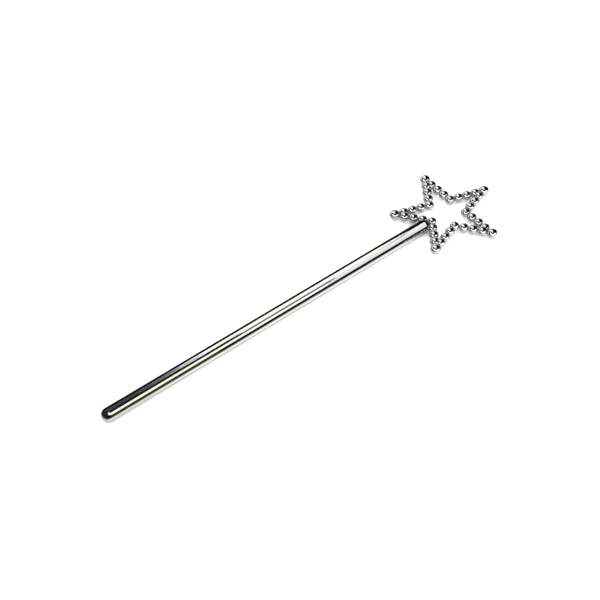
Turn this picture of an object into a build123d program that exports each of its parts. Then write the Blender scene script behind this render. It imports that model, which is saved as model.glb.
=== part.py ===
from build123d import *
import math
import os

# A fairy wand: a round chromed tube with two domed ends, and at one end a five-pointed open star of
# forty chromed balls moulded on one bent wire. The nose plug is moulded round the wire's two tails.
# Its spigot snaps into the tube and can turn there, so the star head swivels about the shaft.
#
# Frame: the origin is on the shaft's axis at the middle of the hand grip, +X runs along the shaft
# towards the star, and +Z is square to the star's plane. All sizes are in millimetres.

# Driving dimensions of the whole wand
OVERALL_LENGTH = 307.0  # handle end to the far side of the outermost ball
GRIP_TO_HANDLE_END = 52.0
SHAFT_RADIUS = 4.6

# Driving dimensions of the star
POINTS = 5
STAR_RADIUS = 34.0  # from the star's centre to where the two sides of a point cross
PITCHES_PER_SIDE = 4  # ball pitches from a point to the next inner corner
BALL_RADIUS = 3.2
TIP_BALL_RADIUS = 3.5
TIP_BALL_PUSH = 0.45  # a tip ball sits this far beyond the crossing of its two sides
FLAT_GAP = 0.04  # between the flats of two balls that meet
BEARING_STEP = 15  # degrees, the step in which a ball's seam is turned
MOULDED_GAP = 0.02  # left round a part that another part is moulded on

# Wire and crimp sleeve
WIRE_RADIUS = 0.4
WIRE_BEND_RADIUS = 0.8
TAIL_SPACING = 1.1  # between the centre lines of the wire's two tails
TAIL_OVERHANG = 1.0  # wire that stands out behind the sleeve
SLEEVE_WALL = 0.35
SLEEVE_LENGTH = 10.0
SLEEVE_FRONT_BEHIND_NOSE = 1.5

# Tube
TUBE_WALL = 0.9
TUBE_EDGE = 0.15  # chamfer on the tube's bore edges

# Nose plug, which turns in the tube
SEAT_DEPTH = 0.4  # how far the nose's tip laps over the root ball
NOSE_SPIGOT_LENGTH = 14.0
SWIVEL_GAP = 0.05  # running clearance of the nose plug in the tube, radial and axial
SNAP_RING_BEHIND_SHOULDER = 9.0
SNAP_RING_WIDTH = 1.0
SNAP_RING_HEIGHT = 0.25  # above the tube's bore

# Handle cap, which is pressed into the tube
CAP_SPIGOT_LENGTH = 12.0
CAP_SPIGOT_RADIUS = 3.5
CAP_CORE_RADIUS = 2.4
CAP_CORE_IN_DOME = 2.0
RIB_COUNT = 4
RIB_RADIUS = 0.35
RIB_GAP = 0.01  # between a rib's crest and the tube's bore
SPIGOT_LEAD_IN = 0.5

# Derived places
HALF_POINT_ANGLE = math.pi / POINTS
INNER_RADIUS = STAR_RADIUS * math.cos(2 * HALF_POINT_ANGLE) / math.cos(HALF_POINT_ANGLE)
TIP_BALL_DISTANCE = STAR_RADIUS + TIP_BALL_PUSH
STAR_X = OVERALL_LENGTH - GRIP_TO_HANDLE_END - TIP_BALL_DISTANCE - TIP_BALL_RADIUS
ROOT_X = STAR_X - INNER_RADIUS
NOSE_TIP = ROOT_X - BALL_RADIUS + SEAT_DEPTH
TUBE_START = SHAFT_RADIUS - GRIP_TO_HANDLE_END
NOSE_SHOULDER = NOSE_TIP - SHAFT_RADIUS
TUBE_END = NOSE_SHOULDER - SWIVEL_GAP
TUBE_BORE_RADIUS = SHAFT_RADIUS - TUBE_WALL
SLEEVE_FRONT = NOSE_TIP - SLEEVE_FRONT_BEHIND_NOSE
SLEEVE_BACK = SLEEVE_FRONT - SLEEVE_LENGTH


def on_star(radius, turn):
    """A point in the star's plane, at a radius and an angle in radians from +X."""
    return Vector(STAR_X + radius * math.cos(turn), radius * math.sin(turn), 0)


def crossing(point):
    """Where the two sides of a point of the star cross. Point 1 lies on +X, the rest follow round."""
    return on_star(STAR_RADIUS, 2 * HALF_POINT_ANGLE * (point - 1))


def inner_corner(point, side):
    """The inner corner that a side of a point runs down to. Side a is the anticlockwise one."""
    turn = 1 if side == "a" else -1
    return on_star(INNER_RADIUS, HALF_POINT_ANGLE * (2 * (point - 1) + turn))


def along_side(point, side, pitches):
    """A ball's place on one side of a point, a number of pitches in from the crossing."""
    share = pitches / PITCHES_PER_SIDE
    return crossing(point) * (1 - share) + inner_corner(point, side) * share


def ball_places():
    """Every ball's name, centre and radius, point by point."""
    places = {}
    for point in range(1, POINTS + 1):
        turn = 2 * HALF_POINT_ANGLE * (point - 1)
        places[f"tip_ball_{point}"] = (on_star(TIP_BALL_DISTANCE, turn), TIP_BALL_RADIUS)
        for side in "ab":
            for pitches, kind in enumerate(("neck_ball", "mid_ball", "base_ball"), start=1):
                places[f"{kind}_{point}{side}"] = (along_side(point, side, pitches), BALL_RADIUS)
        corner = inner_corner(point, "a")
        at_root = corner.X < ROOT_X + BALL_RADIUS
        places["root_ball" if at_root else f"corner_ball_{point}"] = (corner, BALL_RADIUS)
    return places


PLACES = ball_places()


def wire_path():
    """The wire's centre line: in along one tail, round all five points, and back out along the other."""
    tail_y = TAIL_SPACING / 2
    tail_end = SLEEVE_BACK - TAIL_OVERHANG
    first, last = crossing(3), crossing(4)
    lean = (first.X - ROOT_X) / first.Y
    turn_x = ROOT_X + lean * tail_y
    corners = [Vector(tail_end, tail_y, 0), Vector(turn_x, tail_y, 0), first]
    for point in (2, 1, 5):
        corners += [inner_corner(point, "a"), crossing(point)]
    corners += [inner_corner(5, "b"), last, Vector(turn_x, -tail_y, 0), Vector(tail_end, -tail_y, 0)]
    return FilletPolyline(*corners, radius=WIRE_BEND_RADIUS)


def wire_solid(radius):
    """Round wire of a given radius along the wire's path."""
    path = wire_path()
    return sweep(Plane(path @ 0, z_dir=path % 0) * Circle(radius), path=path)


def rod(start_x, end_x, radius):
    """A solid cylinder on the shaft's axis."""
    return Pos((start_x + end_x) / 2, 0, 0) * Rot(0, 90, 0) * Cylinder(radius, abs(end_x - start_x))


def oval_rod(start_x, end_x, radius):
    """A bar on the shaft's axis whose oval section holds the wire's two tails side by side."""
    section = Plane(origin=(start_x, 0, 0), x_dir=(0, 1, 0), z_dir=(1, 0, 0))
    return extrude(section * SlotCenterToCenter(TAIL_SPACING, 2 * radius), end_x - start_x)


def turned(outline):
    """A round body, from the closed outline of half its section, turned about the shaft's axis."""
    return revolve(make_face(outline.edges()), axis=Axis.X)


def snap_profile(radius, gap):
    """Half-section points of the snap ring, from +X to -X, grown all round by a gap."""
    middle = NOSE_SHOULDER - SNAP_RING_BEHIND_SHOULDER
    half_top = SNAP_RING_WIDTH / 2 + gap
    top = TUBE_BORE_RADIUS + SNAP_RING_HEIGHT + gap
    half_foot = half_top + top - radius
    return [
        (middle + half_foot, radius),
        (middle + half_top, top),
        (middle - half_top, top),
        (middle - half_foot, radius),
    ]


def make_shaft_tube():
    """The straight tube, open at both ends, with a groove for the nose plug's snap ring."""
    mouth = TUBE_BORE_RADIUS + TUBE_EDGE
    section = Polyline(
        (TUBE_START, SHAFT_RADIUS),
        (TUBE_END, SHAFT_RADIUS),
        (TUBE_END, mouth),
        (TUBE_END - TUBE_EDGE, TUBE_BORE_RADIUS),
        *snap_profile(TUBE_BORE_RADIUS, SWIVEL_GAP),
        (TUBE_START + TUBE_EDGE, TUBE_BORE_RADIUS),
        (TUBE_START, mouth),
        close=True,
    )
    return turned(section)


def make_handle_cap():
    """The domed cap at the handle end: a dome, a ribbed spigot and a moulder's core up its middle."""
    end_x = TUBE_START + CAP_SPIGOT_LENGTH
    core_x = TUBE_START - CAP_CORE_IN_DOME
    dome = CenterArc((TUBE_START, 0), SHAFT_RADIUS, start_angle=90, arc_size=90)
    rest = Polyline(
        (-GRIP_TO_HANDLE_END, 0),
        (core_x, 0),
        (core_x, CAP_CORE_RADIUS),
        (end_x, CAP_CORE_RADIUS),
        (end_x, CAP_SPIGOT_RADIUS - SPIGOT_LEAD_IN),
        (end_x - SPIGOT_LEAD_IN, CAP_SPIGOT_RADIUS),
        (TUBE_START, CAP_SPIGOT_RADIUS),
        (TUBE_START, SHAFT_RADIUS),
    )
    cap = turned(dome + rest)
    rib_place = Pos(0, 0, TUBE_BORE_RADIUS - RIB_GAP - RIB_RADIUS)
    for number in range(RIB_COUNT):
        rib = rib_place * rod(TUBE_START, end_x - 2 * SPIGOT_LEAD_IN, RIB_RADIUS)
        cap += Rot(360 * number / RIB_COUNT, 0, 0) * rib
    return cap


def make_nose_plug():
    """The domed nose, dished where three balls seat in it, with its snap-in spigot and oval core."""
    back = NOSE_SHOULDER - NOSE_SPIGOT_LENGTH
    spigot_radius = TUBE_BORE_RADIUS - SWIVEL_GAP
    dome = CenterArc((NOSE_SHOULDER, 0), SHAFT_RADIUS, start_angle=0, arc_size=90)
    rest = Polyline(
        (NOSE_SHOULDER, SHAFT_RADIUS),
        (NOSE_SHOULDER, spigot_radius),
        *snap_profile(spigot_radius, 0),
        (back + SPIGOT_LEAD_IN, spigot_radius),
        (back, spigot_radius - SPIGOT_LEAD_IN),
        (back, 0),
        (NOSE_TIP, 0),
    )
    nose = turned(dome + rest)
    for centre, radius in PLACES.values():
        if (centre - Vector(NOSE_SHOULDER, 0, 0)).length < SHAFT_RADIUS + radius:
            nose -= Pos(*centre) * Sphere(radius + MOULDED_GAP)
    nose -= oval_rod(back, SLEEVE_FRONT + MOULDED_GAP, WIRE_RADIUS + SLEEVE_WALL + 2 * MOULDED_GAP)
    return nose - oval_rod(SLEEVE_FRONT, ROOT_X, WIRE_RADIUS + MOULDED_GAP)


def make_crimp_sleeve():
    """The oval sleeve that is crimped round the wire's two tails."""
    outside = oval_rod(SLEEVE_BACK, SLEEVE_FRONT, WIRE_RADIUS + SLEEVE_WALL + MOULDED_GAP)
    return outside - oval_rod(SLEEVE_BACK, SLEEVE_FRONT, WIRE_RADIUS + MOULDED_GAP)


def beyond_flat(centre, radius, other, other_radius):
    """The space past the flat that a ball has where it would run into a neighbour."""
    across = other - centre
    distance = across.length
    depth = (distance**2 + radius**2 - other_radius**2) / (2 * distance) - FLAT_GAP / 2
    flat = Plane(origin=centre + across.normalized() * depth, z_dir=across)
    return flat * Box(2 * radius, 2 * radius, radius, align=(Align.CENTER, Align.CENTER, Align.MIN))


def clear_bearing(centre, neighbours):
    """The bearing about Z, in degrees, that points farthest away from every neighbour."""
    bearings = [math.degrees(math.atan2(other.Y - centre.Y, other.X - centre.X)) for other, _ in neighbours]
    return max(
        range(0, 360, BEARING_STEP),
        key=lambda turn: min(abs((turn - bearing + 180) % 360 - 180) for bearing in bearings),
    )


def make_ball(name, channel):
    """A moulded ball with flats against its neighbours and a channel for the wire.

    The seam of its round surface is turned to where nothing is cut.
    """
    centre, radius = PLACES[name]
    neighbours = [
        (other, other_radius)
        for other, other_radius in PLACES.values()
        if 0 < (other - centre).length < radius + other_radius
    ]
    ball = Pos(*centre) * Rot(0, 0, clear_bearing(centre, neighbours)) * Sphere(radius)
    for other, other_radius in neighbours:
        ball -= beyond_flat(centre, radius, other, other_radius)
    return ball - channel


def main():
    os.makedirs("parts", exist_ok=True)
    channel = wire_solid(WIRE_RADIUS + MOULDED_GAP)
    parts = {
        "shaft_tube": make_shaft_tube(),
        "handle_cap": make_handle_cap(),
        "nose_plug": make_nose_plug(),
        "crimp_sleeve": make_crimp_sleeve(),
        "star_wire": wire_solid(WIRE_RADIUS),
    }
    for name in PLACES:
        parts[name] = make_ball(name, channel)
    for name, part in parts.items():
        export_step(part, f"parts/{name}.step")


main()
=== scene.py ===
"""Looks for the fairy wand: mirror-bright metallised plastic on a glossy white table."""
import math

import bpy
from mathutils import Matrix, Vector


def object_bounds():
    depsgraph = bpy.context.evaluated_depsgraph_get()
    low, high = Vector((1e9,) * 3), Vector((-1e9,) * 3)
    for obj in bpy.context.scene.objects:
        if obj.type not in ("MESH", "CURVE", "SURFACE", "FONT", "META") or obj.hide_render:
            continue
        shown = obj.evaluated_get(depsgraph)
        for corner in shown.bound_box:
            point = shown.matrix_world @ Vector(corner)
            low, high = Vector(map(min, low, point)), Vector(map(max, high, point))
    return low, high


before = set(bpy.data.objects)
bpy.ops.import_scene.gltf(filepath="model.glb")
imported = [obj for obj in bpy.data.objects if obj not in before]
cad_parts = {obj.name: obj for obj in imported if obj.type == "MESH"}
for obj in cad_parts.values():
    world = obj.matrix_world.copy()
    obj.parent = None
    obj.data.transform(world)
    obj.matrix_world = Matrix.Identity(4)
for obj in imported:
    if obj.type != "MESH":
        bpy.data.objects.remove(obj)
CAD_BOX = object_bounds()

MM = 0.001
LOW, HIGH = (Vector(corner) for corner in CAD_BOX)

# Camera, round the wand: azimuth 0 looks along +Y, and elevation is above the table
CAMERA_AZIMUTH = -37.56
CAMERA_ELEVATION = 48.86
CAMERA_DISTANCE = 0.7499
CAMERA_ROLL = -0.79
CAMERA_LENS = 71.98  # millimetres, as is the sensor's width
SENSOR_WIDTH = 36
NEAR_CLIP = 10 * MM
AIM_ALONG = 0.4736  # share of the wand's length, from the handle end
AIM_ACROSS = 0.3 * MM

# The metallised film: its colour, and how many cells of each kind of wear a metre holds along the
# wand, across it and up
SHAFT_TINT = (0.56, 0.56, 0.555)
BALL_TINT = (0.56, 0.57, 0.56)
RUBBED = (0.86, 0.83, 0.78)  # what rubbing leaves of the tint
PEEL_CELLS = (220, 220, 220)
HAZE_CELLS = (38, 60, 60)
PIT_CELLS = (1400, 1400, 1400)
SHAFT_HAIRLINES = (30, 1600, 1600)
BALL_HAIRLINES = (900, 900, 300)
HAZE_WEAR = 0.35
PIT_WEAR = 0.8
HAIRLINE_ROUGHNESS = 0.03

# Drawn steel wire, with the drawing soap's dark streaks
STEEL = (0.58, 0.58, 0.59)
SOAPED_STEEL = (0.36, 0.35, 0.34)
STEEL_GRAIN_CELLS = (900, 900, 5000)
SOAP_CELLS = (160, 160, 500)

# Soft aluminium, tumbled and then pressed
ALUMINIUM = (0.66, 0.67, 0.68)
PRESSED_ALUMINIUM = (0.8, 0.81, 0.82)
ALUMINIUM_GRAIN_CELLS = (2500, 2500, 2500)
JAW_MARKS_PER_METRE = 400.0

# The room as the mirrors see it: dark, with a slightly lighter wall at the handle's end. A ray meets
# that wall where its X falls through these two values.
# The room's colour is also the painted shade that the mirrors see on the table
ROOM_AND_PAINTED_SHADE = (0.006, 0.006, 0.0055)
END_WALL = (0.04, 0.036, 0.04)
END_WALL_STARTS, END_WALL_FULL = -0.805, -0.875

# Even light on the table, for all but the mirrors, changing over within this Y of a ray
BACK_LIGHT = 1.4
FRONT_LIGHT = 3.4
LIGHT_BLEND = 0.3

# The table
TABLE_HALF = 3.0
TABLE_WHITE = 0.93
TABLE_ROUGHNESS = 0.4
# The table's darkening in the mirrors is painted: a painted reflection of the dark room, and painted
# shade by the handle
SIDEWAYS_WEIGHT = 0.6  # of a ray's X beside its Y, where the table darkens to the horizon
HANDLE_SHADE = 0.35
HANDLE_SHADE_REACH = 20 * MM  # each side of the origin

# Lamps far off, each mirrored by some of the pieces only. A lamp's place along the wand is the sine of
# its angle from square across it, + towards the star. Its place round the wand is in degrees, 0 level
# towards -Y and 90 straight up. Then come its half sizes in the same units, and its colour.
LAMP_DISTANCE = 20.0
STRAIGHT_UP = 90

# The stripes down the shaft
SHAFT_LAMPS = {
    "warm_window": (0.245, 49.5, 0.09, 15.5, (1.95, 1.86, 1.45)),
    "mild_window": (0.383, 49.5, 0.048, 15.5, (2.0, 1.94, 1.76)),
    "front_window": (0.505, 49.5, 0.074, 15.5, (1.35, 1.38, 1.30)),
    "ceiling_faint": (0.283, 121, 0.012, 23, (0.28, 0.28, 0.26)),
    "ceiling_early": (0.3055, 123, 0.0105, 21, (1.0, 1.0, 0.95)),
    "ceiling": (0.4085, 121, 0.0925, 23, (1.8, 1.8, 1.76)),
    "ceiling_end": (0.555, 107, 0.054, 9, (1.8, 1.8, 1.76)),
    "ceiling_middle": (0.48, 91, 0.13, 7, (1.45, 1.47, 1.42)),
    "ceiling_low": (0.52, 74, 0.083, 10, (1.45, 1.48, 1.42)),
    "handle_ceiling": (0.153, 122, 0.118, 24, (0.10, 0.096, 0.09)),
    "warm_room": (0.21, 10, 0.12, 22, (0.055, 0.05, 0.018)),
}

# Soft boxes for the tube's other sides, outside what it mirrors to the scene's camera
TUBE_LAMPS = {
    "left_front_box": (-0.385, 50, 0.555, 19, (1.7, 1.7, 1.68)),
    "left_back_box": (-0.385, 124, 0.555, 19, (1.4, 1.4, 1.4)),
    "left_sweep": (-0.385, 6, 0.555, 9, (1.0, 1.0, 1.0)),
    "left_far_sweep": (-0.385, 174, 0.555, 7, (0.8, 0.8, 0.8)),
    "right_front_box": (0.765, 50, 0.205, 19, (1.7, 1.7, 1.68)),
    "right_back_box": (0.765, 124, 0.205, 19, (1.4, 1.4, 1.4)),
    "right_far_sweep": (0.765, 174, 0.205, 7, (0.8, 0.8, 0.8)),
}

# The pinkish spot on the handle's dark dome, and the purple round it
HANDLE_LAMPS = {
    "dome_spot": (-0.03, 64, 0.2, 18, (2.2, 2.0, 2.05)),
    "dome_room": (-0.3, 110, 0.45, 50, (0.05, 0.03, 0.045)),
}

# Bright all round the star but for the gap towards its point, which is the black spot on every ball
STAR_LAMPS = {
    "star_ceiling": (-0.03, 118, 0.35, 24, (1.9, 1.97, 1.9)),
    "star_ceiling_low": (-0.20, 81, 0.18, 13, (1.6, 1.65, 1.6)),
    "left_wall": (-0.85, 72, 0.10, 40, (2.5, 2.5, 2.5)),
    "low_sweep": (-0.30, 11, 0.66, 20, (2.6, 2.6, 2.6)),
    "front_strip": (0.53, 10, 0.17, 17, (2.2, 2.2, 2.2)),
    "front_dim": (0.30, 38, 0.40, 10, (0.12, 0.12, 0.12)),
    "far_wall": (0.05, 170, 0.90, 11, (1.9, 1.9, 1.9)),
}


# Helpers for node trees


def node(tree, kind, inputs=None, **settings):
    """A shader node with its settings and unlinked input values."""
    made = tree.nodes.new(kind)
    for name, value in settings.items():
        setattr(made, name, value)
    for name, value in (inputs or {}).items():
        made.inputs[name].default_value = value
    return made


def empty_tree(owner):
    """The cleared node tree of a new material or world."""
    owner.use_nodes = True
    owner.node_tree.nodes.clear()
    return owner.node_tree


def maths(tree, operation, first, second=None):
    """The result of a sum whose terms are sockets or numbers."""
    made = node(tree, "ShaderNodeMath", operation=operation)
    for slot, value in enumerate((first, second)):
        if isinstance(value, (int, float)):
            made.inputs[slot].default_value = value
        elif value is not None:
            tree.links.new(value, made.inputs[slot])
    return made.outputs["Value"]


def split(tree, vector):
    """A vector's X, Y and Z, by name."""
    made = node(tree, "ShaderNodeSeparateXYZ")
    tree.links.new(vector, made.inputs["Vector"])
    return made.outputs


def spread(tree, value, low, high, at_low=0.0, at_high=1.0, **settings):
    """A value's stretch from low to high, laid out from at_low to at_high."""
    ends = {"From Min": low, "From Max": high, "To Min": at_low, "To Max": at_high}
    made = node(tree, "ShaderNodeMapRange", ends, **settings)
    tree.links.new(value, made.inputs["Value"])
    return made.outputs["Result"]


def speckle(tree, cells, detail):
    """Noise over the wand, with its number of cells per metre along, across and up."""
    place = node(tree, "ShaderNodeTexCoord")
    scaled = node(tree, "ShaderNodeMapping", {"Scale": cells})
    noise = node(tree, "ShaderNodeTexNoise", {"Scale": 1.0, "Detail": detail})
    tree.links.new(place.outputs["Object"], scaled.inputs["Vector"])
    tree.links.new(scaled.outputs["Vector"], noise.inputs["Vector"])
    return noise.outputs["Fac"]


def raised(tree, height, strength, distance, under=None):
    """A bump of this height in metres, on top of the one under it."""
    made = node(tree, "ShaderNodeBump", {"Strength": strength, "Distance": distance})
    tree.links.new(height, made.inputs["Height"])
    if under:
        tree.links.new(under, made.inputs["Normal"])
    return made.outputs["Normal"]


def blended(tree, share, first, second):
    """A colour between two others, by a share from 0 to 1."""
    made = node(tree, "ShaderNodeMix", data_type="RGBA")
    tree.links.new(share, made.inputs["Factor"])
    made.inputs["A"].default_value = (*first, 1)
    made.inputs["B"].default_value = (*second, 1)
    return made.outputs["Result"]


def mixed(tree, share, first, second):
    """A shader between two others, by a share from 0 to 1."""
    made = node(tree, "ShaderNodeMixShader")
    tree.links.new(share, made.inputs["Fac"])
    tree.links.new(first, made.inputs[1])
    tree.links.new(second, made.inputs[2])
    return made.outputs["Shader"]


def in_mirrors(tree):
    """1 for what a mirror sees and 0 for what the camera and the table see."""
    return node(tree, "ShaderNodeLightPath").outputs["Is Glossy Ray"]


# Materials


def metal(tree, colour, roughness, normal):
    """Finish a metal from its colour, roughness and bump."""
    surface = node(tree, "ShaderNodeBsdfPrincipled", {"Metallic": 1.0})
    out = node(tree, "ShaderNodeOutputMaterial")
    tree.links.new(colour, surface.inputs["Base Color"])
    tree.links.new(roughness, surface.inputs["Roughness"])
    tree.links.new(normal, surface.inputs["Normal"])
    tree.links.new(surface.outputs["BSDF"], out.inputs["Surface"])


def metallised(name, tint, hairline_cells):
    """Vacuum-metallised plastic: a mirror film with orange peel, hairlines and a haze of handling."""
    material = bpy.data.materials.new(name)
    tree = empty_tree(material)
    peel = speckle(tree, PEEL_CELLS, detail=2.0)
    haze = spread(tree, speckle(tree, HAZE_CELLS, detail=3.0), low=0.45, high=0.75)
    hairlines = spread(tree, speckle(tree, hairline_cells, detail=1.0), low=0.62, high=0.72)
    pits = spread(tree, speckle(tree, PIT_CELLS, detail=0.0), low=0.76, high=0.82)

    hazed = maths(tree, "MULTIPLY", haze, HAZE_WEAR)
    pitted = maths(tree, "MULTIPLY", pits, PIT_WEAR)
    rubbed_tint = tuple(value * share for value, share in zip(tint, RUBBED))
    colour = blended(tree, maths(tree, "MAXIMUM", hazed, pitted), tint, rubbed_tint)

    hazed_roughness = spread(tree, haze, low=0, high=1, at_low=0.022, at_high=0.045)
    scratches = maths(tree, "MULTIPLY", hairlines, HAIRLINE_ROUGHNESS)
    roughness = maths(tree, "ADD", hazed_roughness, scratches)

    normal = raised(tree, peel, strength=0.05, distance=0.2 * MM)
    normal = raised(tree, hairlines, strength=0.02, distance=-0.01 * MM, under=normal)
    normal = raised(tree, pits, strength=0.15, distance=-0.02 * MM, under=normal)
    metal(tree, colour, roughness, normal)
    return material


def drawn_steel():
    """Bright drawn wire: fine grain lines and darker streaks of drawing soap."""
    material = bpy.data.materials.new("drawn_steel")
    tree = empty_tree(material)
    grain = speckle(tree, STEEL_GRAIN_CELLS, detail=2.0)
    soap = spread(tree, speckle(tree, SOAP_CELLS, detail=3.0), low=0.5, high=0.7)
    colour = blended(tree, soap, STEEL, SOAPED_STEEL)
    roughness = spread(tree, grain, low=0.3, high=0.7, at_low=0.16, at_high=0.30)
    normal = raised(tree, grain, strength=0.25, distance=0.02 * MM)
    metal(tree, colour, roughness, normal)
    return material


def pressed_aluminium():
    """Soft aluminium: a tumbled grain, with the crimping tool's polished press marks."""
    material = bpy.data.materials.new("pressed_aluminium")
    tree = empty_tree(material)
    grain = speckle(tree, ALUMINIUM_GRAIN_CELLS, detail=3.0)
    place = node(tree, "ShaderNodeTexCoord")
    jaws = node(
        tree,
        "ShaderNodeTexWave",
        {"Scale": JAW_MARKS_PER_METRE, "Distortion": 0.6},
        bands_direction="X",
    )
    tree.links.new(place.outputs["Object"], jaws.inputs["Vector"])
    pressed = spread(tree, jaws.outputs["Fac"], low=0.55, high=0.85)
    colour = blended(tree, pressed, ALUMINIUM, PRESSED_ALUMINIUM)
    roughness = spread(tree, pressed, low=0, high=1, at_low=0.38, at_high=0.20)
    normal = raised(tree, grain, strength=0.2, distance=0.02 * MM)
    normal = raised(tree, pressed, strength=0.3, distance=-0.05 * MM, under=normal)
    metal(tree, colour, roughness, normal)
    return material


def table_shade(tree):
    """How much painted shade a mirror sees on the table, from 0 to 1: a painted reflection of the dark
    room, a painted contact shadow and painted shade by the handle.
    """
    slant = node(tree, "ShaderNodeLayerWeight", {"Blend": 0.5}).outputs["Facing"]  # 0 steep, 1 level
    geometry = node(tree, "ShaderNodeNewGeometry")
    spot = split(tree, geometry.outputs["Position"])
    back_ray = split(tree, geometry.outputs["Incoming"])  # from the table back to the mirror

    # Level rays find a painted reflection of the dark room, and soonest those that go towards the back
    # or towards the handle
    sideways = maths(tree, "MULTIPLY", back_ray["X"], SIDEWAYS_WEIGHT)
    forwards = maths(tree, "ADD", back_ray["Y"], sideways)
    falloff = spread(tree, forwards, low=-0.7, high=0.0, at_low=0.15, at_high=2.8)
    to_handle = spread(tree, back_ray["X"], low=0.2, high=0.7, at_low=1.0, at_high=0.25)
    level = maths(tree, "POWER", slant, maths(tree, "MULTIPLY", falloff, to_handle))

    # Steep rays find a painted contact shadow, the thin grey line along the shaft's lower edge
    steep = spread(tree, slant, low=0.2, high=0.28, at_low=0.5, at_high=0.0)
    # Painted shade on the table round the handle's end
    reach = HANDLE_SHADE_REACH
    handle_painted_shade = spread(tree, spot["X"], low=reach, high=-reach, at_low=0.0, at_high=HANDLE_SHADE)
    return maths(tree, "MAXIMUM", level, maths(tree, "MAXIMUM", steep, handle_painted_shade))


def table_white():
    """Glossy white that blows out to the camera; the mirrors see it mixed with painted shade in the
    room's dark colour.
    """
    material = bpy.data.materials.new("table_white")
    tree = empty_tree(material)
    colour = (TABLE_WHITE, TABLE_WHITE, TABLE_WHITE, 1)
    white = node(tree, "ShaderNodeBsdfPrincipled", {"Base Color": colour, "Roughness": TABLE_ROUGHNESS})
    # Painted shade: a dark glow in the room's colour, put on the table for the mirrors in place of its
    # white
    dark = node(tree, "ShaderNodeEmission", {"Color": (*ROOM_AND_PAINTED_SHADE, 1), "Strength": 1.0})
    share = maths(tree, "MULTIPLY", table_shade(tree), in_mirrors(tree))
    surface = mixed(tree, share, white.outputs["BSDF"], dark.outputs["Emission"])
    out = node(tree, "ShaderNodeOutputMaterial")
    tree.links.new(surface, out.inputs["Surface"])
    return material


def finish_pieces(nodes):
    """Give every piece its finish."""
    shaft_finish = metallised("metallised_shaft", SHAFT_TINT, SHAFT_HAIRLINES)
    ball_finish = metallised("metallised_balls", BALL_TINT, BALL_HAIRLINES)
    others = {"star_wire": drawn_steel(), "crimp_sleeve": pressed_aluminium()}
    for name, piece in nodes.items():
        finish = others.get(name, ball_finish if "ball" in name else shaft_finish)
        for slot in piece.material_slots:
            slot.link = "OBJECT"
            slot.material = finish


# Studio


def make_world():
    """The mirrors see the dark room; the camera and the table see white, brightest at the front."""
    world = bpy.data.worlds.new("studio")
    tree = empty_tree(world)
    ray = split(tree, node(tree, "ShaderNodeTexCoord").outputs["Generated"])
    light = node(tree, "ShaderNodeBackground", {"Color": (1, 1, 1, 1)})
    strength = spread(tree, ray["Y"], LIGHT_BLEND, -LIGHT_BLEND, BACK_LIGHT, FRONT_LIGHT)
    tree.links.new(strength, light.inputs["Strength"])
    room = node(tree, "ShaderNodeBackground", {"Strength": 1.0})
    wall = spread(tree, ray["X"], END_WALL_STARTS, END_WALL_FULL, interpolation_type="SMOOTHSTEP")
    tree.links.new(blended(tree, wall, ROOM_AND_PAINTED_SHADE, END_WALL), room.inputs["Color"])
    seen = mixed(tree, in_mirrors(tree), light.outputs["Background"], room.outputs["Background"])
    out = node(tree, "ShaderNodeOutputWorld")
    tree.links.new(seen, out.inputs["Surface"])
    bpy.context.scene.world = world


def mirrors_of(name, pieces):
    """A collection of the pieces that mirror a set of lamps."""
    made = bpy.data.collections.new(name)
    for piece in pieces:
        made.objects.link(piece)
    return made


def make_lamp(name, lamp_place, mirrors):
    """A far rectangular lamp, its sides along and across the wand, that only some pieces mirror."""
    place_along, place_round, half_along, half_round, colour = lamp_place
    low, high = (math.tan(math.asin(place_along + side * half_along)) for side in (-1, 1))
    brightness = max(colour)
    lamp = bpy.data.lights.new(name, "AREA")
    lamp.shape = "RECTANGLE"
    lamp.size = LAMP_DISTANCE * (high - low)
    lamp.size_y = LAMP_DISTANCE * 2 * math.tan(math.radians(half_round))
    lamp.color = [value / brightness for value in colour]
    lamp.energy = brightness * math.pi * lamp.size * lamp.size_y
    holder = bpy.data.objects.new(name, lamp)
    turn = Matrix.Rotation(math.radians(STRAIGHT_UP - place_round), 4, "X")
    shift = Matrix.Translation((LAMP_DISTANCE * (low + high) / 2, 0, LAMP_DISTANCE))
    holder.matrix_world = turn @ shift
    holder.light_linking.receiver_collection = mirrors
    bpy.context.collection.objects.link(holder)


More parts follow.
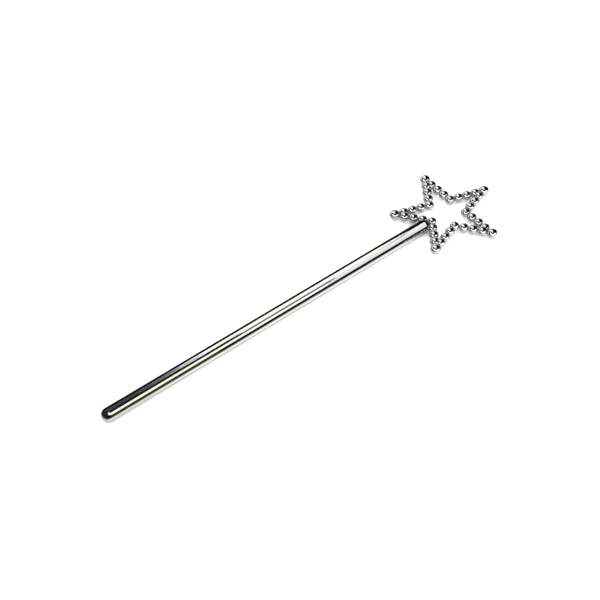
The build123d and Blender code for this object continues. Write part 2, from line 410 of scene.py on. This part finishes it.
def light_pieces(nodes):
    """Light the shaft, the handle and the star, each by its own lamps."""
    balls = [piece for name, piece in nodes.items() if "ball" in name]
    lamp_sets = (
        ("shaft_mirrors", SHAFT_LAMPS, [nodes["shaft_tube"], nodes["handle_cap"], nodes["nose_plug"]]),
        ("tube_mirrors", TUBE_LAMPS, [nodes["shaft_tube"]]),
        ("handle_mirrors", HANDLE_LAMPS, [nodes["handle_cap"]]),
        ("star_mirrors", STAR_LAMPS, [*balls, nodes["star_wire"], nodes["crimp_sleeve"]]),
    )
    for set_name, lamps, pieces in lamp_sets:
        mirrors = mirrors_of(set_name, pieces)
        for name, lamp_place in lamps.items():
            make_lamp(name, lamp_place, mirrors)


def make_table():
    """A wide table at the height of the shaft's lowest line."""
    half = TABLE_HALF
    corners = [(x * half, y * half, LOW.z) for x, y in ((-1, -1), (1, -1), (1, 1), (-1, 1))]
    mesh = bpy.data.meshes.new("table")
    mesh.from_pydata(corners, [], [(0, 1, 2, 3)])
    mesh.materials.append(table_white())
    table = bpy.data.objects.new("table", mesh)
    bpy.context.collection.objects.link(table)


def make_camera():
    """The scene's camera, aimed near the middle of the wand."""
    turn = math.radians(CAMERA_AZIMUTH)
    rise = math.radians(CAMERA_ELEVATION)
    away = Vector((math.sin(turn) * math.cos(rise), -math.cos(turn) * math.cos(rise), math.sin(rise)))
    target = Vector((LOW.x + AIM_ALONG * (HIGH.x - LOW.x), AIM_ACROSS, 0))
    camera = bpy.data.objects.new("camera", bpy.data.cameras.new("camera"))
    camera.data.lens = CAMERA_LENS
    camera.data.sensor_width = SENSOR_WIDTH
    camera.data.clip_start = NEAR_CLIP
    facing = away.to_track_quat("Z", "Y").to_matrix().to_4x4()
    roll = Matrix.Rotation(math.radians(CAMERA_ROLL), 4, "Z")
    camera.matrix_world = Matrix.Translation(target + away * CAMERA_DISTANCE) @ facing @ roll
    bpy.context.collection.objects.link(camera)
    bpy.context.scene.camera = camera


finish_pieces(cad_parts)
make_world()
light_pieces(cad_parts)
make_table()
make_camera()
bpy.context.scene.view_settings.view_transform = "Standard"
